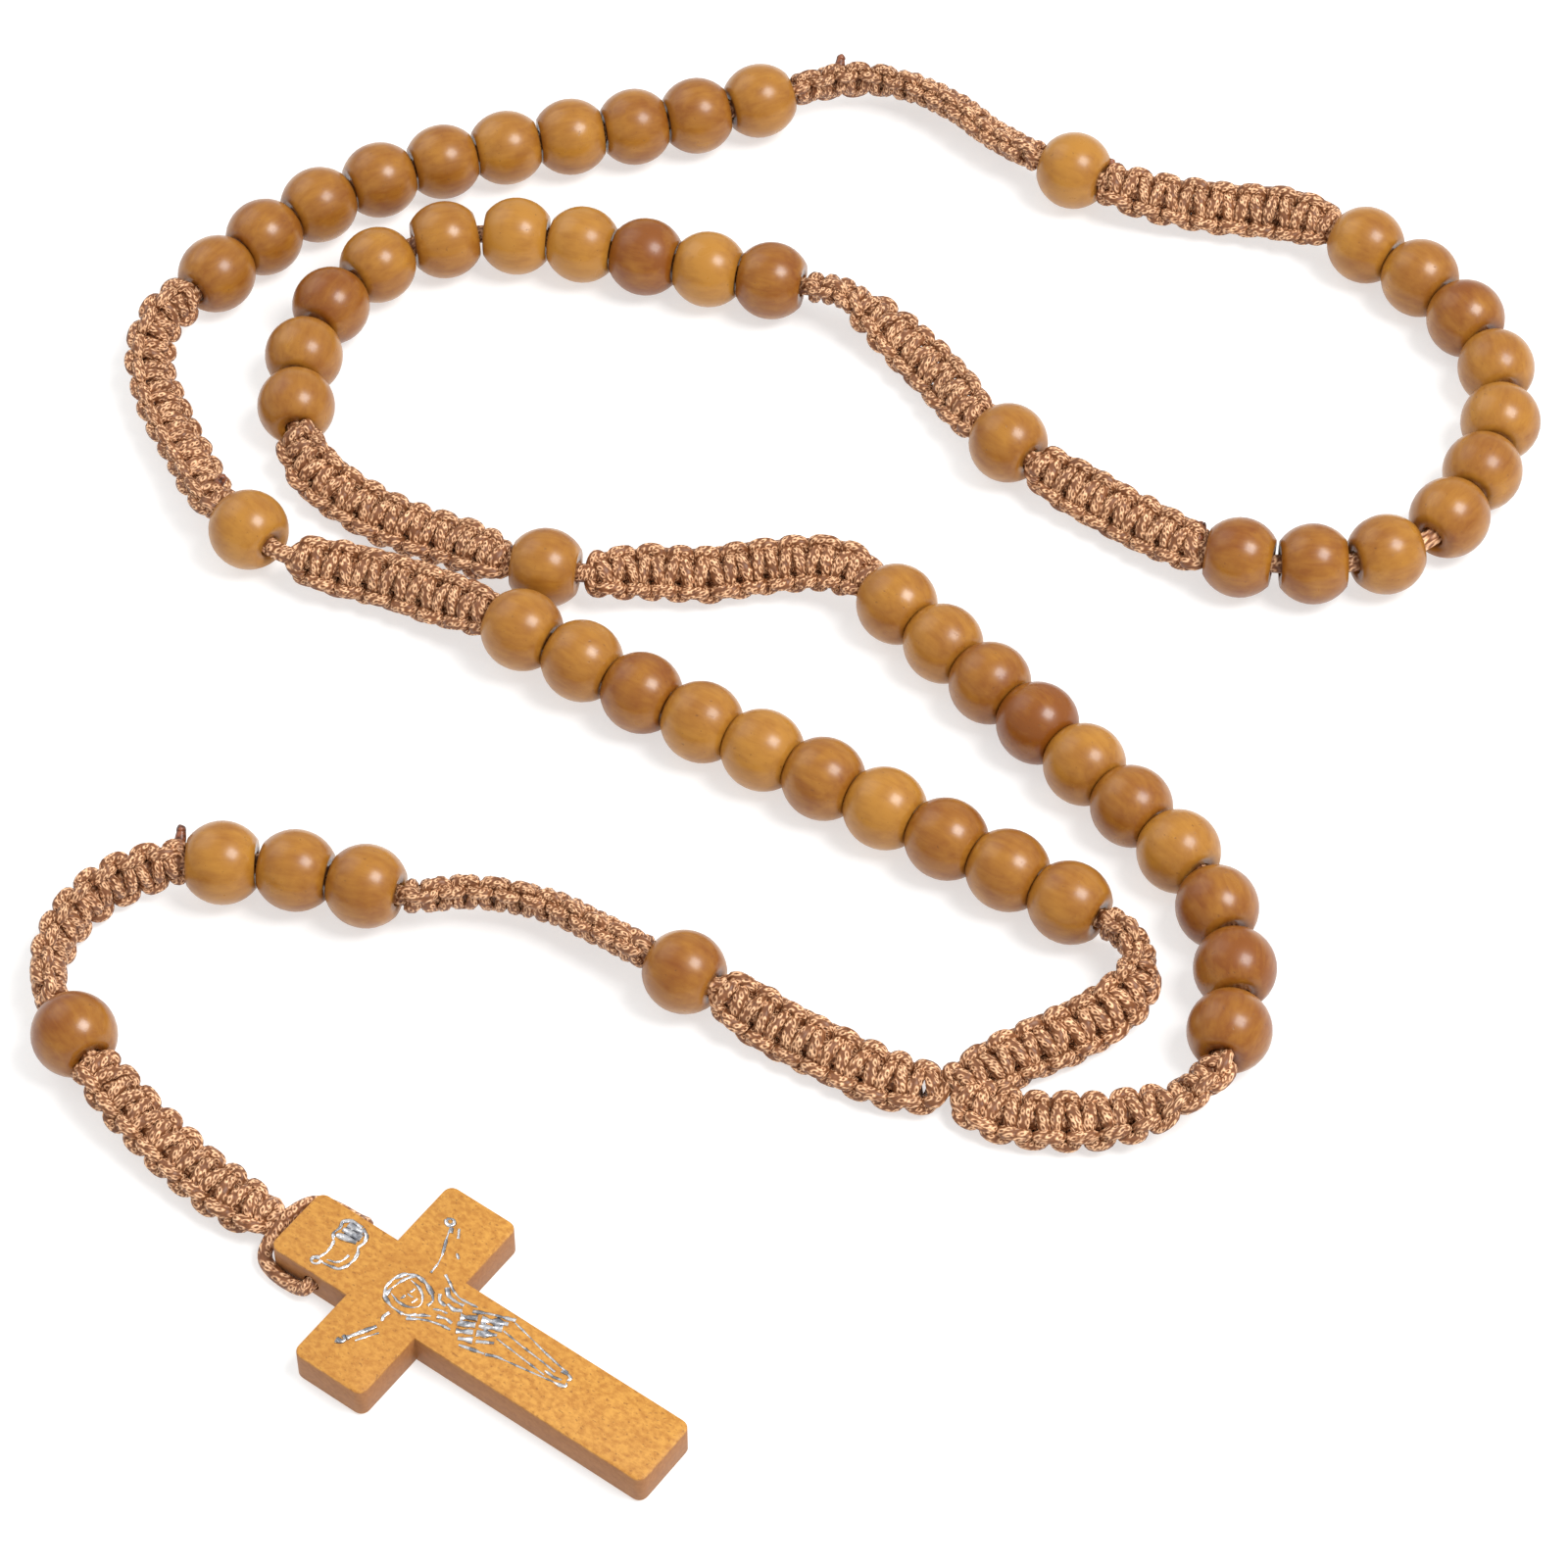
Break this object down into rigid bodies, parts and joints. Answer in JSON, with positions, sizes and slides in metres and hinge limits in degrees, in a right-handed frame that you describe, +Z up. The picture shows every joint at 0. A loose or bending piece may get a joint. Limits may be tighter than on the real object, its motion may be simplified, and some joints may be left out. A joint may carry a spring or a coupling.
{
  "type": "rosary",
  "caption": "Wooden bead rosary lying on a table: a closed loop of bead decades with flat-knotted cord strips between, and a beaded pendant that ends in a wooden cross.",
  "frame": {"origin": "on the table, under the middle of the laid-out rosary", "axes": "+Z up from the table; +Y away from the viewer, along the longer side of the layout; +X to the right. The pendant and cross lie at -X, -Y."},
  "size_m": [0.1482, 0.1791, 0.009],
  "materials": {
    "bead_wood": "lacquered, satin-gloss",
    "cross_wood": "laser-cut, burnt edges, light lacquer",
    "core_cord": "twisted synthetic cord",
    "knotted_cord": "braided synthetic cord, slight sheen",
    "foil": "hot-stamped foil"
  },
  "bodies": {
    "loop": {"loop_cord": "core_cord", "junction_knots": "knotted_cord", "strip_knots_1": "knotted_cord", "strip_knots_2": "knotted_cord", "strip_knots_3": "knotted_cord", "strip_knots_4": "knotted_cord", "decade_5_beads": "bead_wood"},
    "pendant": {"pendant_cord": "core_cord", "pendant_knots": "knotted_cord"},
    "cross": {"cross": "cross_wood", "cross_foil": "foil"},
    "decade_1_bead_01": {"decade_1_bead_01": "bead_wood"},
    "decade_1_bead_02": {"decade_1_bead_02": "bead_wood"},
    "decade_1_bead_03": {"decade_1_bead_03": "bead_wood"},
    "decade_1_bead_04": {"decade_1_bead_04": "bead_wood"},
    "decade_1_bead_05": {"decade_1_bead_05": "bead_wood"},
    "decade_1_bead_06": {"decade_1_bead_06": "bead_wood"},
    "decade_1_bead_07": {"decade_1_bead_07": "bead_wood"},
    "decade_1_bead_08": {"decade_1_bead_08": "bead_wood"},
    "decade_1_bead_09": {"decade_1_bead_09": "bead_wood"},
    "decade_1_bead_10": {"decade_1_bead_10": "bead_wood"},
    "father_bead_1": {"father_bead_1": "bead_wood"},
    "decade_2_bead_01": {"decade_2_bead_01": "bead_wood"},
    "decade_2_bead_02": {"decade_2_bead_02": "bead_wood"},
    "decade_2_bead_03": {"decade_2_bead_03": "bead_wood"},
    "decade_2_bead_04": {"decade_2_bead_04": "bead_wood"},
    "decade_2_bead_05": {"decade_2_bead_05": "bead_wood"},
    "decade_2_bead_06": {"decade_2_bead_06": "bead_wood"},
    "decade_2_bead_07": {"decade_2_bead_07": "bead_wood"},
    "decade_2_bead_08": {"decade_2_bead_08": "bead_wood"},
    "decade_2_bead_09": {"decade_2_bead_09": "bead_wood"},
    "decade_2_bead_10": {"decade_2_bead_10": "bead_wood"},
    "father_bead_2": {"father_bead_2": "bead_wood"},
    "decade_3_bead_01": {"decade_3_bead_01": "bead_wood"},
    "decade_3_bead_02": {"decade_3_bead_02": "bead_wood"},
    "decade_3_bead_03": {"decade_3_bead_03": "bead_wood"},
    "decade_3_bead_04": {"decade_3_bead_04": "bead_wood"},
    "decade_3_bead_05": {"decade_3_bead_05": "bead_wood"},
    "decade_3_bead_06": {"decade_3_bead_06": "bead_wood"},
    "decade_3_bead_07": {"decade_3_bead_07": "bead_wood"},
    "decade_3_bead_08": {"decade_3_bead_08": "bead_wood"},
    "decade_3_bead_09": {"decade_3_bead_09": "bead_wood"},
    "decade_3_bead_10": {"decade_3_bead_10": "bead_wood"},
    "father_bead_3": {"father_bead_3": "bead_wood"},
    "decade_4_bead_01": {"decade_4_bead_01": "bead_wood"},
    "decade_4_bead_02": {"decade_4_bead_02": "bead_wood"},
    "decade_4_bead_03": {"decade_4_bead_03": "bead_wood"},
    "decade_4_bead_04": {"decade_4_bead_04": "bead_wood"},
    "decade_4_bead_05": {"decade_4_bead_05": "bead_wood"},
    "decade_4_bead_06": {"decade_4_bead_06": "bead_wood"},
    "decade_4_bead_07": {"decade_4_bead_07": "bead_wood"},
    "decade_4_bead_08": {"decade_4_bead_08": "bead_wood"},
    "decade_4_bead_09": {"decade_4_bead_09": "bead_wood"},
    "decade_4_bead_10": {"decade_4_bead_10": "bead_wood"},
    "father_bead_4": {"father_bead_4": "bead_wood"},
    "father_bead_5": {"father_bead_5": "bead_wood"},
    "hail_bead_1": {"hail_bead_1": "bead_wood"},
    "hail_bead_2": {"hail_bead_2": "bead_wood"},
    "hail_bead_3": {"hail_bead_3": "bead_wood"},
    "father_bead_6": {"father_bead_6": "bead_wood"}
  },
  "joints": [
    {"name": "pendant_swing", "type": "hinge", "parent": "loop", "child": "pendant", "pos_m": [0.0114, -0.04647, 0.002], "axis": [0, 0, 1], "range_deg": [-12, 12]},
    {"name": "cross_swing", "type": "hinge", "parent": "pendant", "child": "cross", "pos_m": [-0.04373, -0.06461, 0.0018], "axis": [-0.592, -0.8059, 0], "range_deg": [0, 100]},
    {"name": "spin_decade_1_bead_01", "type": "hinge", "parent": "loop", "child": "decade_1_bead_01", "pos_m": [0.02352, -0.02614, 0.00412], "axis": [-0.8198, 0.5726, 0], "continuous": true},
    {"name": "spin_decade_1_bead_02", "type": "hinge", "parent": "loop", "child": "decade_1_bead_02", "pos_m": [0.01777, -0.02224, 0.00412], "axis": [-0.8355, 0.5495, 0], "continuous": true},
    {"name": "spin_decade_1_bead_03", "type": "hinge", "parent": "loop", "child": "decade_1_bead_03", "pos_m": [0.01201, -0.01844, 0.00412], "axis": [-0.8346, 0.5509, 0], "continuous": true},
    {"name": "spin_decade_1_bead_04", "type": "hinge", "parent": "loop", "child": "decade_1_bead_04", "pos_m": [0.00619, -0.01467, 0.00412], "axis": [-0.8441, 0.5362, 0], "continuous": true},
    {"name": "spin_decade_1_bead_05", "type": "hinge", "parent": "loop", "child": "decade_1_bead_05", "pos_m": [0.00031, -0.011, 0.00412], "axis": [-0.852, 0.5235, 0], "continuous": true},
    {"name": "spin_decade_1_bead_06", "type": "hinge", "parent": "loop", "child": "decade_1_bead_06", "pos_m": [-0.00558, -0.00741, 0.00411], "axis": [-0.8549, 0.5188, -0.0034], "continuous": true},
    {"name": "spin_decade_1_bead_07", "type": "hinge", "parent": "loop", "child": "decade_1_bead_07", "pos_m": [-0.01148, -0.00384, 0.00409], "axis": [-0.8567, 0.5158, -0.0031], "continuous": true},
    {"name": "spin_decade_1_bead_08", "type": "hinge", "parent": "loop", "child": "decade_1_bead_08", "pos_m": [-0.01743, -0.00016, 0.00415], "axis": [-0.8442, 0.5356, 0.0215], "continuous": true},
    {"name": "spin_decade_1_bead_09", "type": "hinge", "parent": "loop", "child": "decade_1_bead_09", "pos_m": [-0.02331, 0.00361, 0.00453], "axis": [-0.8359, 0.5417, 0.0881], "continuous": true},
    {"name": "spin_decade_1_bead_10", "type": "hinge", "parent": "loop", "child": "decade_1_bead_10", "pos_m": [-0.0293, 0.00729, 0.00494], "axis": [-0.863, 0.5046, 0.0265], "continuous": true},
    {"name": "spin_father_bead_1", "type": "hinge", "parent": "loop", "child": "father_bead_1", "pos_m": [-0.05723, 0.02124, 0.00423], "axis": [-0.7142, 0.6999, -0.0006], "continuous": true},
    {"name": "spin_decade_2_bead_01", "type": "hinge", "parent": "loop", "child": "decade_2_bead_01", "pos_m": [-0.06296, 0.05747, 0.00412], "axis": [0.6149, 0.7886, 0], "continuous": true},
    {"name": "spin_decade_2_bead_02", "type": "hinge", "parent": "loop", "child": "decade_2_bead_02", "pos_m": [-0.05834, 0.06291, 0.00412], "axis": [0.6799, 0.7334, 0], "continuous": true},
    {"name": "spin_decade_2_bead_03", "type": "hinge", "parent": "loop", "child": "decade_2_bead_03", "pos_m": [-0.05285, 0.06778, 0.00412], "axis": [0.8089, 0.588, 0], "continuous": true},
    {"name": "spin_decade_2_bead_04", "type": "hinge", "parent": "loop", "child": "decade_2_bead_04", "pos_m": [-0.04657, 0.07153, 0.00412], "axis": [0.9004, 0.435, 0], "continuous": true},
    {"name": "spin_decade_2_bead_05", "type": "hinge", "parent": "loop", "child": "decade_2_bead_05", "pos_m": [-0.03997, 0.07431, 0.00412], "axis": [0.9405, 0.3399, 0], "continuous": true},
    {"name": "spin_decade_2_bead_06", "type": "hinge", "parent": "loop", "child": "decade_2_bead_06", "pos_m": [-0.03327, 0.07647, 0.00412], "axis": [0.9624, 0.2718, 0], "continuous": true},
    {"name": "spin_decade_2_bead_07", "type": "hinge", "parent": "loop", "child": "decade_2_bead_07", "pos_m": [-0.02641, 0.07816, 0.00412], "axis": [0.9784, 0.2068, 0], "continuous": true},
    {"name": "spin_decade_2_bead_08", "type": "hinge", "parent": "loop", "child": "decade_2_bead_08", "pos_m": [-0.01959, 0.07971, 0.00411], "axis": [0.9714, 0.2375, -0.0015], "continuous": true},
    {"name": "spin_decade_2_bead_09", "type": "hinge", "parent": "loop", "child": "decade_2_bead_09", "pos_m": [-0.01291, 0.08145, 0.0041], "axis": [0.9637, 0.2669, -0.0025], "continuous": true},
    {"name": "spin_decade_2_bead_10", "type": "hinge", "parent": "loop", "child": "decade_2_bead_10", "pos_m": [-0.00614, 0.08374, 0.00416], "axis": [0.9286, 0.3705, 0.0189], "continuous": true},
    {"name": "spin_father_bead_2", "type": "hinge", "parent": "loop", "child": "father_bead_2", "pos_m": [0.02746, 0.07285, 0.00424], "axis": [0.8732, -0.4874, -0.0003], "continuous": true},
    {"name": "spin_decade_3_bead_01", "type": "hinge", "parent": "loop", "child": "decade_3_bead_01", "pos_m": [0.05781, 0.06172, 0.00413], "axis": [0.7969, -0.6041, 0.0014], "continuous": true},
    {"name": "spin_decade_3_bead_02", "type": "hinge", "parent": "loop", "child": "decade_3_bead_02", "pos_m": [0.06315, 0.05683, 0.00413], "axis": [0.6703, -0.7421, -0.0014], "continuous": true},
    {"name": "spin_decade_3_bead_03", "type": "hinge", "parent": "loop", "child": "decade_3_bead_03", "pos_m": [0.06742, 0.05091, 0.00412], "axis": [0.4932, -0.8699, 0], "continuous": true},
    {"name": "spin_decade_3_bead_04", "type": "hinge", "parent": "loop", "child": "decade_3_bead_04", "pos_m": [0.06997, 0.04387, 0.00412], "axis": [0.1805, -0.9836, 0], "continuous": true},
    {"name": "spin_decade_3_bead_05", "type": "hinge", "parent": "loop", "child": "decade_3_bead_05", "pos_m": [0.06974, 0.03619, 0.00412], "axis": [-0.2371, -0.9715, 0], "continuous": true},
    {"name": "spin_decade_3_bead_06", "type": "hinge", "parent": "loop", "child": "decade_3_bead_06", "pos_m": [0.0673, 0.02932, 0.00412], "axis": [-0.4321, -0.9018, 0], "continuous": true},
    {"name": "spin_decade_3_bead_07", "type": "hinge", "parent": "loop", "child": "decade_3_bead_07", "pos_m": [0.06346, 0.023, 0.00412], "axis": [-0.5968, -0.8024, 0], "continuous": true},
    {"name": "spin_decade_3_bead_08", "type": "hinge", "parent": "loop", "child": "decade_3_bead_08", "pos_m": [0.05671, 0.01803, 0.00412], "axis": [-0.9457, -0.3251, 0], "continuous": true},
    {"name": "spin_decade_3_bead_09", "type": "hinge", "parent": "loop", "child": "decade_3_bead_09", "pos_m": [0.04933, 0.01674, 0.00411], "axis": [-0.9999, -0.0103, -0.0019], "continuous": true},
    {"name": "spin_decade_3_bead_10", "type": "hinge", "parent": "loop", "child": "decade_3_bead_10", "pos_m": [0.04204, 0.01761, 0.00412], "axis": [-0.9702, 0.2424, 0.0049], "continuous": true},
    {"name": "spin_father_bead_3", "type": "hinge", "parent": "loop", "child": "father_bead_3", "pos_m": [0.01934, 0.03315, 0.00423], "axis": [-0.689, 0.7247, -0.002], "continuous": true},
    {"name": "spin_decade_4_bead_01", "type": "hinge", "parent": "loop", "child": "decade_4_bead_01", "pos_m": [-0.00481, 0.05645, 0.00412], "axis": [-0.9722, 0.2341, 0], "continuous": true},
    {"name": "spin_decade_4_bead_02", "type": "hinge", "parent": "loop", "child": "decade_4_bead_02", "pos_m": [-0.01143, 0.05812, 0.00412], "axis": [-0.9668, 0.2556, 0], "continuous": true},
    {"name": "spin_decade_4_bead_03", "type": "hinge", "parent": "loop", "child": "decade_4_bead_03", "pos_m": [-0.01806, 0.05997, 0.00412], "axis": [-0.9597, 0.2809, 0], "continuous": true},
    {"name": "spin_decade_4_bead_04", "type": "hinge", "parent": "loop", "child": "decade_4_bead_04", "pos_m": [-0.02475, 0.0618, 0.00412], "axis": [-0.9693, 0.2457, 0], "continuous": true},
    {"name": "spin_decade_4_bead_05", "type": "hinge", "parent": "loop", "child": "decade_4_bead_05", "pos_m": [-0.03171, 0.06305, 0.00412], "axis": [-0.9943, 0.107, 0], "continuous": true},
    {"name": "spin_decade_4_bead_06", "type": "hinge", "parent": "loop", "child": "decade_4_bead_06", "pos_m": [-0.03926, 0.06251, 0.00412], "axis": [-0.9686, -0.2485, 0], "continuous": true},
    {"name": "spin_decade_4_bead_07", "type": "hinge", "parent": "loop", "child": "decade_4_bead_07", "pos_m": [-0.04616, 0.05877, 0.00412], "axis": [-0.7406, -0.6719, 0], "continuous": true},
    {"name": "spin_decade_4_bead_08", "type": "hinge", "parent": "loop", "child": "decade_4_bead_08", "pos_m": [-0.05074, 0.0528, 0.00412], "axis": [-0.4552, -0.8904, 0], "continuous": true},
    {"name": "spin_decade_4_bead_09", "type": "hinge", "parent": "loop", "child": "decade_4_bead_09", "pos_m": [-0.05314, 0.04562, 0.00411], "axis": [-0.1734, -0.9849, -0.0014], "continuous": true},
    {"name": "spin_decade_4_bead_10", "type": "hinge", "parent": "loop", "child": "decade_4_bead_10", "pos_m": [-0.05351, 0.03841, 0.00414], "axis": [0.0744, -0.9972, 0.0088], "continuous": true},
    {"name": "spin_father_bead_4", "type": "hinge", "parent": "loop", "child": "father_bead_4", "pos_m": [-0.02726, 0.01609, 0.00426], "axis": [0.9829, -0.184, -0.0029], "continuous": true},
    {"name": "spin_father_bead_5", "type": "hinge", "parent": "pendant", "child": "father_bead_5", "pos_m": [-0.01281, -0.03446, 0.00425], "axis": [-0.8468, 0.5318, -0.0047], "continuous": true},
    {"name": "spin_hail_bead_1", "type": "hinge", "parent": "pendant", "child": "hail_bead_1", "pos_m": [-0.04311, -0.02415, 0.00412], "axis": [-0.9501, 0.312, 0], "continuous": true},
    {"name": "spin_hail_bead_2", "type": "hinge", "parent": "pendant", "child": "hail_bead_2", "pos_m": [-0.0499, -0.02226, 0.00412], "axis": [-0.9742, 0.2257, 0], "continuous": true},
    {"name": "spin_hail_bead_3", "type": "hinge", "parent": "pendant", "child": "hail_bead_3", "pos_m": [-0.05691, -0.02133, 0.00411], "axis": [-0.9993, 0.036, -0.0015], "continuous": true},
    {"name": "spin_father_bead_6", "type": "hinge", "parent": "pendant", "child": "father_bead_6", "pos_m": [-0.06921, -0.0417, 0.00425], "axis": [0.5316, -0.847, -0.0031], "continuous": true}
  ]
}
